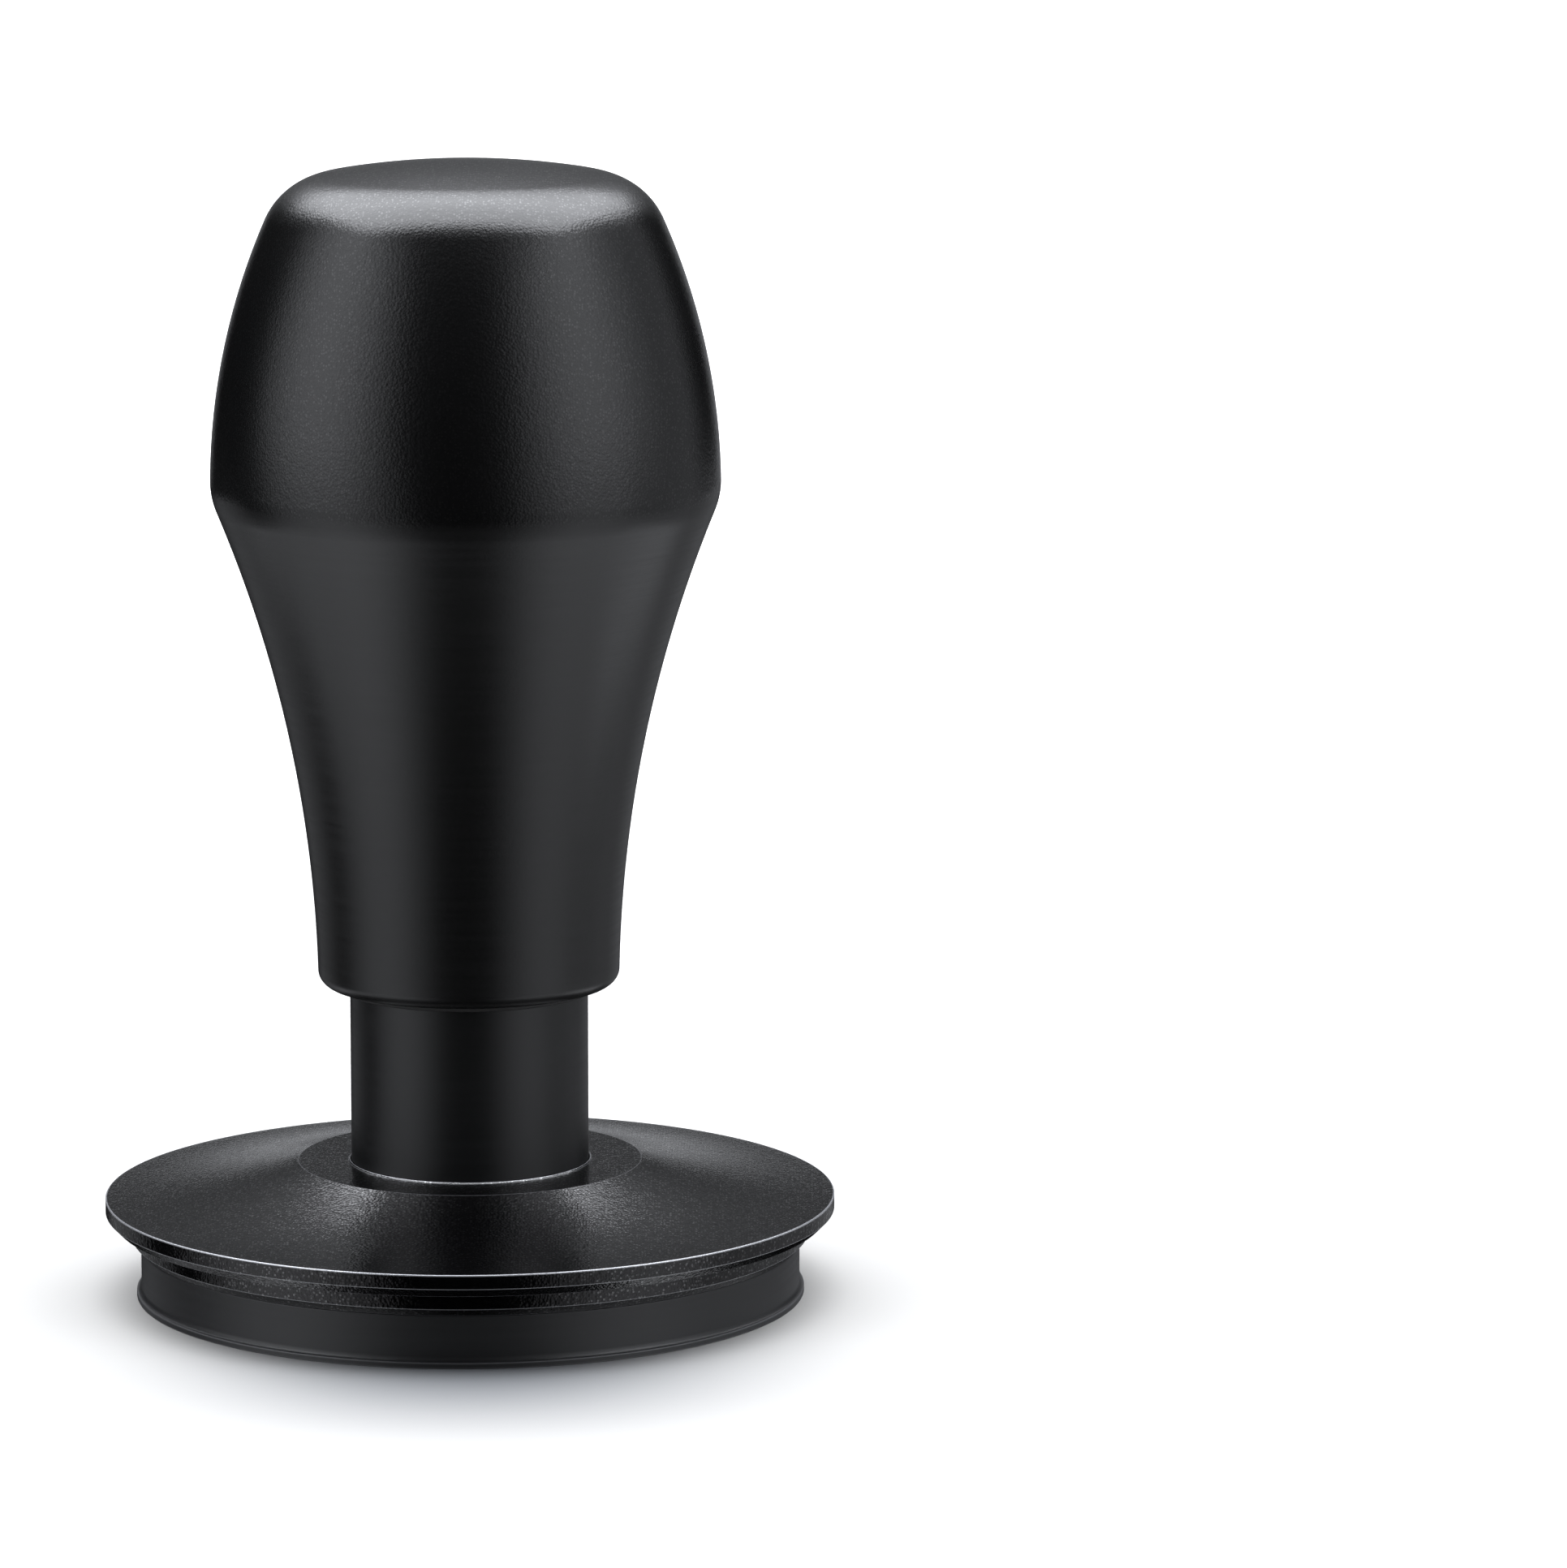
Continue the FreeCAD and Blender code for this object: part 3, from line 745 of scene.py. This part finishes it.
class TAMPER_OT_handle(bpy.types.Operator):
    """Turn the handle: foot, hollow flare, crease, side, shoulder and crown"""

    bl_idname = "tamper.handle"
    bl_label = "Handle"

    # degrees that the wall leans outwards from the vertical where its arcs meet
    neck_lean = 1.26
    crease_lean = -0.91
    side_lean = -23.78
    crown_lean = -79.73

    def execute(self, context):
        sizes = context.scene.tamper_sizes
        bore_top = GRIP_LOW + 3.0 * MM
        foot_arc = 1.35 * MM
        outline = Outline()
        outline.corners([
            (0, bore_top, 0),
            (BORE_R, bore_top, 0),
            (BORE_R, GRIP_LOW, 0.05 * MM),
            (sizes.foot_r, GRIP_LOW, 0),
        ])
        outline.arc((sizes.flare_low_r, GRIP_LOW + sizes.foot_round), foot_arc, 1)
        rise = math.sin(math.radians(self.neck_lean)) + sizes.flare_height / sizes.flare_arc
        flare_lean = math.degrees(math.asin(rise))
        outline.lean_arc(self.neck_lean, flare_lean, sizes.flare_arc, steps=44)
        outline.lean_arc(flare_lean, self.crease_lean, sizes.waist_arc, steps=18)
        outline.lean_arc(self.crease_lean, self.side_lean, sizes.side_arc, steps=36)
        outline.lean_arc(self.side_lean, self.crown_lean, sizes.shoulder_arc, steps=28)
        self.crown(outline)
        material = handle_material(context.scene.tamper_finish)
        piece = turned("handle", outline, material, sizes.segments)
        place(piece, "handle", "anodised_handle", "handle_shell")
        return {"FINISHED"}

    @staticmethod
    def crown(outline):
        """Shallow dome from the shoulder to the axis."""
        edge = outline.points[-1].copy()
        drop = GRIP_TOP - edge.y
        radius = (edge.x ** 2 + drop ** 2) / (2 * drop)
        half = math.asin(edge.x / radius)
        steps = 20
        for step in range(1, steps + 1):
            angle = half * (1 - step / steps)
            outline.add((radius * math.sin(angle), GRIP_TOP - radius * (1 - math.cos(angle))))


class TAMPER_OT_wiper(bpy.types.Operator):
    """Turn the wiper ring that shows as a dark lip under the handle"""

    bl_idname = "tamper.wiper"
    bl_label = "Wiper ring"

    def execute(self, context):
        sizes = context.scene.tamper_sizes
        outline = Outline()
        inner = STEM_R + 0.05 * MM
        lip = 11.15 * MM
        outline.corners([
            (inner, WIPER_TOP, 0),
            (inner, WIPER_LOW, 0.10 * MM),
            (lip, WIPER_LOW, 0.15 * MM),
            (lip, GRIP_LOW + 0.05 * MM, 0.02 * MM),
            (WIPER_R, GRIP_LOW + 0.05 * MM, 0.02 * MM),
            (WIPER_R, WIPER_TOP, 0.02 * MM),
            (inner, WIPER_TOP, 0),
        ])
        props = context.scene.tamper_finish
        material = plain_material("Wiper rubber", props.rubber, 0.62, 0.0, 0.12 * MM)
        piece = turned("wiper_ring", outline, material, sizes.segments // 2)
        place(piece, "handle", "black_rubber", "handle_wiper")
        return {"FINISHED"}


class TAMPER_OT_stem(bpy.types.Operator):
    """Turn the black stem with its guide groove"""

    bl_idname = "tamper.stem"
    bl_label = "Stem"

    def execute(self, context):
        sizes = context.scene.tamper_sizes
        props = context.scene.tamper_finish
        groove = node_size("stem_guide_ring")
        root = groove[0] - 0.85 * MM
        low, high = groove[1] - 0.05 * MM, groove[2] + 0.05 * MM
        bore = 7.6 * MM
        thread = 8.4 * MM
        web = STEM_LOW + 12.5 * MM
        cap = STEM_TOP - 6.0 * MM
        outline = Outline()
        outline.corners([
            (TAP_R, STEM_LOW, 0),
            (STEM_R, STEM_LOW, 0.3 * MM),
            (STEM_R, low, 0.1 * MM),
            (root, low, 0.05 * MM),
            (root, high, 0.05 * MM),
            (STEM_R, high, 0.1 * MM),
            (STEM_R, STEM_TOP, 0.3 * MM),
            (thread, STEM_TOP, 0.1 * MM),
            (thread, cap, 0.1 * MM),
            (bore, cap, 0.1 * MM),
            (bore, web, 0.1 * MM),
            (TAP_R, web - 2.0 * MM, 0.1 * MM),
            (TAP_R, STEM_LOW, 0),
        ])
        material = turned_material("Stem black", props.stem, 0.36, 0.12 * MM, props)
        piece = turned("stem", outline, material, sizes.segments)
        place(piece, "base_and_stem", "stem_black", "stem_tube")
        return {"FINISHED"}


class TAMPER_OT_plate(bpy.types.Operator):
    """Turn the levelling plate: flare, flat ring, rim, bevels and spigot"""

    bl_idname = "tamper.plate"
    bl_label = "Levelling plate"

    def execute(self, context):
        sizes = context.scene.tamper_sizes
        edge = sizes.edge
        bevel_low = sizes.rim_low - sizes.rim_bevel
        spigot_low_r = sizes.spigot_r - sizes.spigot_bevel
        wall_in = spigot_low_r - 1.8 * MM
        bore = STEM_R + 0.085 * MM
        recess = PLATE_BUSH_R + 0.055 * MM
        boss_low = PLATE_LOW + 0.6 * MM
        boss_r = 14.3 * MM
        boss_top = PLATE_TOP - 2.6 * MM
        seat = PLATE_TOP - 0.85 * MM
        flare_end = Vector((RIM_R - edge, sizes.rim_top))
        flare_start = Vector((sizes.ring_r, PLATE_TOP))
        outline = Outline()
        outline.corners([
            (boss_r, boss_top, 0),
            (boss_r, boss_low, edge),
            (recess, boss_low, edge),
            (recess, seat, edge),
            (bore, seat, edge),
            (bore, PLATE_TOP - 0.31 * MM, 0),
        ])
        # Fourth values, here and below: edge brightness, partly rubbed-bare metal, partly painted
        # highlight.
        outline.corners([
            (bore, PLATE_TOP - 0.30 * MM, 0),
            (bore, PLATE_TOP + BORE_LIP, 0.04 * MM, 0.7),
            (bore + 0.08 * MM, PLATE_TOP + BORE_LIP, 0.04 * MM, 1.0),
            (bore + 0.18 * MM, PLATE_TOP, 0.02 * MM, 0.5),
            (bore + 0.30 * MM, PLATE_TOP, 0),
        ])
        flare = sagging(flare_start, flare_end, FLARE_SAG, steps=26)
        outline.corners([
            (flare_start.x - 0.3 * MM, PLATE_TOP, 0),
            (flare_start.x, flare_start.y, edge * 0.7, 0.25),
            (*flare[1], 0),
        ])
        for point in flare[2:-1]:
            outline.add(point)
        outline.corners([
            (*flare[-2], 0),
            (RIM_R, sizes.rim_top - 0.03 * MM, edge, 1.0),
            (RIM_R, sizes.rim_low, edge * 0.6, 0.45),
            (RIM_R - sizes.rim_bevel, bevel_low, edge * 0.6, 0.2),
            (sizes.spigot_r, bevel_low, 0.2 * MM),
            (sizes.spigot_r, PLATE_LOW + sizes.spigot_bevel, edge * 0.6, 0.4),
            (spigot_low_r, PLATE_LOW, edge * 0.4, 0.3),
            (wall_in, PLATE_LOW, edge),
            (wall_in, bevel_low, 0),
        ])
        outline.sag_arc((boss_r, boss_top), 0.35 * MM, steps=16)
        material = plate_material(context.scene.tamper_finish)
        piece = turned("levelling_plate_skin", outline, material, sizes.segments)
        place(piece, "plate", "anodised_plate", "levelling_plate")
        return {"FINISHED"}


class TAMPER_OT_base(bpy.types.Operator):
    """Turn the tamping base: lip, cove, wall, top and hub"""

    bl_idname = "tamper.base"
    bl_label = "Tamping base"

    def execute(self, context):
        sizes = context.scene.tamper_sizes
        props = context.scene.tamper_finish
        hub = STEM_R - 0.075 * MM
        cove_arc = 0.62 * MM
        tap_low = 2.0 * MM
        edge = sizes.edge
        outline = Outline()
        # Fourth values: edge brightness, partly rubbed-bare metal, partly painted highlight.
        outline.corners([
            (0, BASE_LOW, 0),
            (LIP_R, BASE_LOW, edge, 0.2),
            (LIP_R, sizes.lip_top, edge, 0.4),
            (LIP_R - 0.14 * MM, sizes.lip_top + 0.04 * MM, 0),
        ])
        outline.arc((sizes.wall_r, sizes.cove_top), cove_arc, -1)
        outline.corners([
            (sizes.wall_r, sizes.cove_top, 0),
            (sizes.wall_r, sizes.base_top, 0.15 * MM),
            (hub, sizes.base_top, 0.8 * MM),
            (hub, HUB_TOP, 0.3 * MM),
            (TAP_R, HUB_TOP, 0.1 * MM),
            (TAP_R, tap_low, 0.1 * MM),
            (0, tap_low, 0),
        ])
        material = turned_material("Base black coating", props.coating, 0.40, 0.30 * MM, props)
        piece = turned("tamping_base", outline, material, sizes.segments)
        place(piece, "base_and_stem", "base_steel", "tamper_base")
        return {"FINISHED"}


class TAMPER_OT_spring(bpy.types.Operator):
    """Wind the main spring as one fixed coil; the real one shortens as the handle is pressed"""

    bl_idname = "tamper.spring"
    bl_label = "Main spring"

    def execute(self, context):
        wire = 1.0 * MM
        props = context.scene.tamper_finish
        material = plain_material("Spring wire", props.bright_steel, 0.26, 1.0, 0.10 * MM)
        values = {
            "Low": SPRING_LOW + wire,
            "Height": SPRING_TOP - SPRING_LOW - 2 * wire,
            "Coil radius": SPRING_R - wire,
            "Wire radius": wire,
            "Turns": 7.5,
            "Material": material,
        }
        empty = bpy.data.meshes.new("spring_source")
        piece = grow("spring_coil", spring_tree(), empty, values)
        place(piece, "base_and_stem", "spring_steel", "main_spring")
        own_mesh(piece)
        return {"FINISHED"}


class TAMPER_OT_inner_pieces(bpy.types.Operator):
    """Give the plated, plastic and rubber pieces inside their finishes"""

    bl_idname = "tamper.inner_pieces"
    bl_label = "Inner pieces"

    def execute(self, context):
        props = context.scene.tamper_finish
        finishes = {
            "bearing_plastic": plain_material("Bearing plastic", props.plastic, 0.48, 0.0, 0.15 * MM),
            "black_rubber": plain_material("Buffer rubber", props.rubber, 0.68, 0.0, 0.12 * MM),
            "zinc_steel": plain_material("Zinc plate", props.bright_steel, 0.34, 1.0, 0.20 * MM),
            "spring_steel": plain_material("Spring clip", props.bright_steel, 0.28, 1.0, 0.10 * MM),
        }
        for part in frame["record"]["subparts"]:
            node = frame["nodes"][part["node"]]
            material = finishes.get(part["material_slot"])
            if material is None or node.hide_render:
                continue
            for holder in node.material_slots:
                holder.material = material
        return {"FINISHED"}


class TAMPER_OT_stage(bpy.types.Operator):
    """Set the pale floor, the softboxes, the surroundings and the camera"""

    bl_idname = "tamper.stage"
    bl_label = "Studio"

    def execute(self, context):
        studio = context.scene.tamper_studio
        context.scene.view_settings.view_transform = "Standard"
        self.floor(studio)
        self.surroundings(context.scene)
        self.overhead(studio)
        self.bank(studio.left, -68, -62)
        self.bank(studio.right, 62, 61)
        for side in (-1, 1):
            self.softbox("back corner", studio.back * 1.4, side * 148, 37, 20, 20)
        self.softbox("back high", studio.back * 4.2, 180, 55, 90, 12)
        self.softbox("back middle", studio.back * 2.8, 180, 43, 80, 12)
        self.softbox("back low", studio.back * 0.3, 180, 28, 60, 16)
        self.softbox("back dim", studio.back * 0.11, 180, 12, 44, 14)
        self.softbox("horizon", studio.back * 0.45, 180, -2, 36, 10)
        self.softbox("right side", 0.33, 112, 0, 36, 74)
        self.softbox("right low", 0.85, 112, -48, 40, 40)
        self.softbox("left low", 0.6, -112, -48, 40, 40)
        self.softbox("left rear", 0.20, -138, -28, 34, 36)
        self.softbox("right rear", 0.24, 150, -16, 34, 20)
        self.camera(context.scene, studio)
        return {"FINISHED"}

    @staticmethod
    def floor(studio):
        """Large disc, grey enough to show the shadow, with a painted shade before the base, and glowing
        to white far off.

        Only the camera sees it: the lights and the reflections pass through.
        """
        disc = bmesh.new()
        bmesh.ops.create_circle(disc, cap_ends=True, segments=96, radius=6.0)
        mesh = bpy.data.meshes.new("floor")
        disc.to_mesh(mesh)
        disc.free()
        mesh.transform(Matrix.Translation((0, 0, -0.02 * MM)))
        floor = bpy.data.objects.new("floor", mesh)
        bpy.context.scene.collection.objects.link(floor)
        floor.visible_glossy = False
        floor.visible_shadow = False
        mesh.materials.append(floor_material(studio))

    @staticmethod
    def surroundings(scene):
        """White behind the object, nearly black in its reflections."""
        world = bpy.data.worlds.new("Studio")
        world.use_nodes = True
        scene.world = world
        tree = world.node_tree
        white = tree.nodes["Background"]
        white.inputs["Color"].default_value = (1.0, 1.0, 1.0, 1.0)
        dim = add_node(tree, "ShaderNodeBackground")
        dim.inputs["Color"].default_value = (0.9, 0.95, 1.0, 1.0)
        dim.inputs["Strength"].default_value = 0.004
        seen = add_node(tree, "ShaderNodeLightPath")
        choose = add_node(tree, "ShaderNodeMixShader")
        tree.links.new(seen.outputs["Is Camera Ray"], choose.inputs[0])
        tree.links.new(dim.outputs[0], choose.inputs[1])
        tree.links.new(white.outputs[0], choose.inputs[2])
        tree.links.new(choose.outputs[0], tree.nodes["World Output"].inputs["Surface"])

    @staticmethod
    def area_light(name, radiance, size):
        """Rectangular light that the camera doesn't see, with a given radiance."""
        light = bpy.data.lights.new(name, "AREA")
        light.shape = "RECTANGLE"
        light.size, light.size_y = size
        light.energy = radiance * math.pi * size[0] * size[1]
        light.color = SOFTBOX_TINT
        lamp = bpy.data.objects.new(name, light)
        lamp.visible_camera = False
        bpy.context.scene.collection.objects.link(lamp)
        return lamp

    def bank(self, radiance, high_azimuth, low_azimuth):
        """Side softbox in upright strips, brightest in the middle, and its skirt."""
        strip = 14
        for step, share in enumerate((0.4, 0.85, 1.0, 0.85, 0.4), start=-2):
            self.softbox("bank", radiance * share, high_azimuth + strip * step, 19, strip, 40)
            self.softbox("skirt", radiance * share * 0.5, low_azimuth + strip * step, -36, strip, 72)

    def overhead(self, studio):
        """Wide flat softbox above and behind the object."""
        width, depth = 2.3, 1.10
        lamp = self.area_light("overhead", studio.key, (width, depth))
        lamp.location = (0.0, 0.08, 1.15)

    def softbox(self, name, radiance, azimuth, elevation, width, height):
        """Light on a dome round the object, with its angles in degrees.

        Azimuth 0 is towards the camera, and positive is to its right.
        """
        reach = 1.1
        size = [2 * reach * math.tan(math.radians(angle / 2)) for angle in (width, height)]
        lamp = self.area_light(name, radiance, size)
        turn, lift = math.radians(azimuth), math.radians(elevation)
        level = math.cos(lift)
        away = Vector((math.sin(turn) * level, -math.cos(turn) * level, math.sin(lift)))
        lamp.location = Vector((0, 0, 0.05)) + away * reach
        lamp.rotation_euler = (-away).to_track_quat("-Z", "Y").to_euler()

    @staticmethod
    def camera(scene, studio):
        data = bpy.data.cameras.new("camera")
        data.lens = studio.focal
        data.clip_start = 0.05
        data.clip_end = 20.0
        camera = bpy.data.objects.new("camera", data)
        camera.location = (studio.side, -studio.distance, studio.height)
        camera.rotation_euler = (math.pi / 2 - studio.tilt, 0, 0)
        scene.collection.objects.link(camera)
        scene.camera = camera


class TAMPER_PT_panel(bpy.types.Panel):
    """Buttons and settings for the tamper"""

    bl_idname = "TAMPER_PT_panel"
    bl_label = "Espresso tamper"
    bl_space_type = "VIEW_3D"
    bl_region_type = "UI"
    bl_category = "Tamper"

    def draw(self, context):
        layout = self.layout
        for operator in OPERATORS:
            layout.operator(operator.bl_idname)
        scene = context.scene
        for group in (scene.tamper_sizes, scene.tamper_finish, scene.tamper_studio):
            box = layout.box()
            for name in group.__annotations__:
                box.prop(group, name)


OPERATORS = (
    TAMPER_OT_handle,
    TAMPER_OT_wiper,
    TAMPER_OT_stem,
    TAMPER_OT_plate,
    TAMPER_OT_base,
    TAMPER_OT_spring,
    TAMPER_OT_inner_pieces,
    TAMPER_OT_stage,
)
CLASSES = (TamperSizes, TamperFinish, TamperStudio, *OPERATORS, TAMPER_PT_panel)


def register():
    for cls in CLASSES:
        bpy.utils.register_class(cls)
    bpy.types.Scene.tamper_sizes = PointerProperty(type=TamperSizes)
    bpy.types.Scene.tamper_finish = PointerProperty(type=TamperFinish)
    bpy.types.Scene.tamper_studio = PointerProperty(type=TamperStudio)


def unregister():
    del bpy.types.Scene.tamper_studio
    del bpy.types.Scene.tamper_finish
    del bpy.types.Scene.tamper_sizes
    for cls in reversed(CLASSES):
        bpy.utils.unregister_class(cls)


def main():
    register()
    bpy.ops.tamper.handle()
    bpy.ops.tamper.wiper()
    bpy.ops.tamper.stem()
    bpy.ops.tamper.plate()
    bpy.ops.tamper.base()
    bpy.ops.tamper.spring()
    bpy.ops.tamper.inner_pieces()
    bpy.ops.tamper.stage()


if __name__ == "__main__":
    main()
